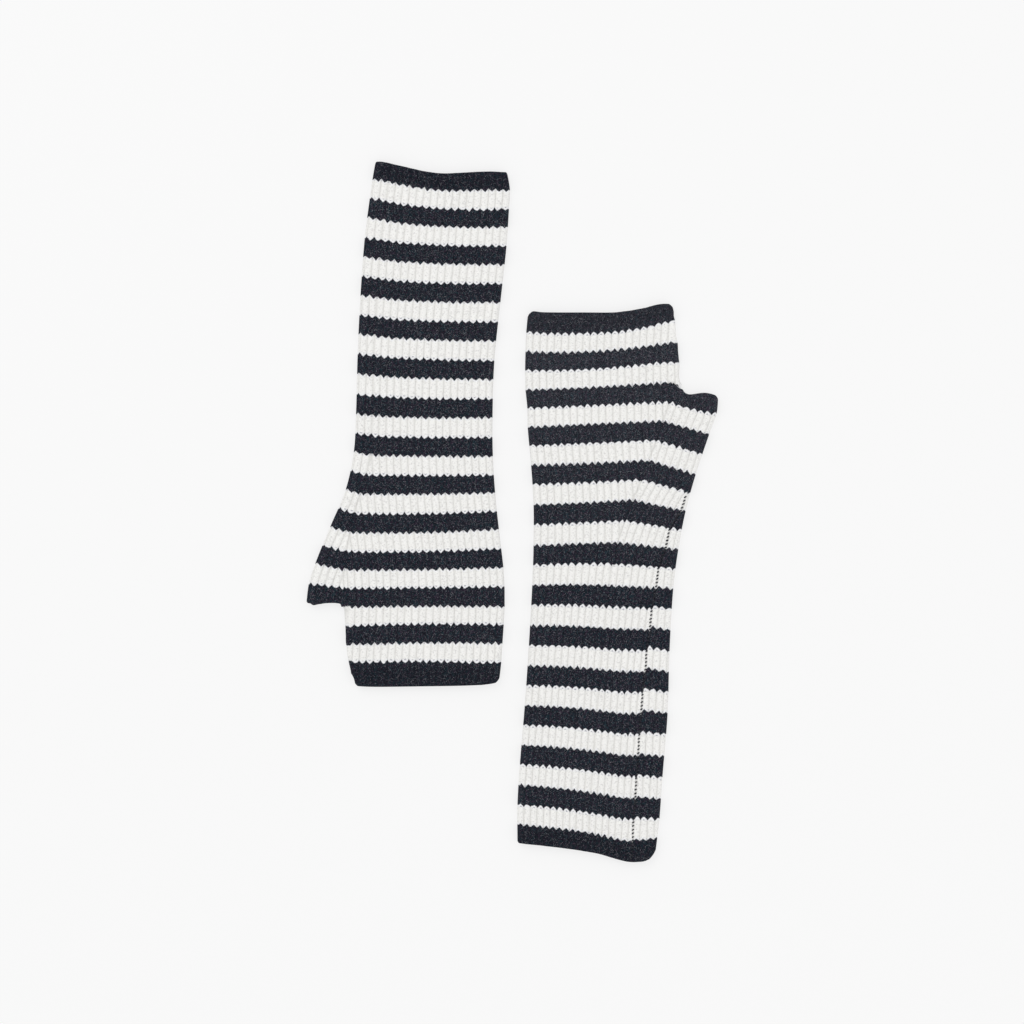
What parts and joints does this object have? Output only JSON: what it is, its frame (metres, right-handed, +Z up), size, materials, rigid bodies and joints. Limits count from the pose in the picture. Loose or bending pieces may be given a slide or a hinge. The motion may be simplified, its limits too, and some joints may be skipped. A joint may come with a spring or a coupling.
{
  "type": "pair of wrist warmers",
  "caption": "Striped rib-knit wrist warmers, each a flattened tube with arm, hand and thumb openings, laid flat side by side.",
  "frame": {"origin": "centre of the pair's outline, on the surface that it lies on", "axes": "+Z up, +Y along the warmers towards the hand end of the one that shows its seam, +X towards that one's thumb"},
  "size_m": [0.2193, 0.3744, 0.0053],
  "materials": {
    "wool_seam_up": "soft rib-knit wool, charcoal and cream bands",
    "wool_seam_down": "soft rib-knit wool, charcoal and cream bands"
  },
  "bodies": {
    "root": {"warmer_seam_up": "wool_seam_up", "warmer_seam_down": "wool_seam_down"}
  },
  "joints": []
}
